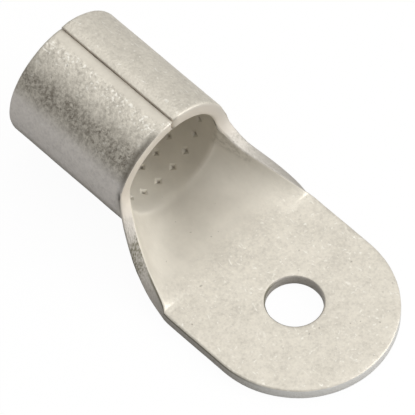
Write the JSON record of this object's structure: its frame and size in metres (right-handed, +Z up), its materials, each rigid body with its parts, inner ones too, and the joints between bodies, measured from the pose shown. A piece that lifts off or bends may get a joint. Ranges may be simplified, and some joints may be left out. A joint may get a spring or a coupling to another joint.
{
  "type": "crimp cable lug",
  "caption": "Tin-plated copper crimp lug rolled from one sheet, with a tubular barrel, an open curled neck and a flat round-ended palm with a stud hole.",
  "frame": {"origin": "centre of the stud hole on the palm's underside", "axes": "+X along the lug towards the palm's tip, with the barrel on the -X side, +Z up through the stud hole, away from the surface that the palm is bolted to"},
  "size_m": [0.0483, 0.0228, 0.0168],
  "materials": {
    "tinned_copper": "matt electroplated tin, mottled, with grey sheared edges"
  },
  "bodies": {
    "root": {"lug": "tinned_copper"}
  },
  "joints": []
}
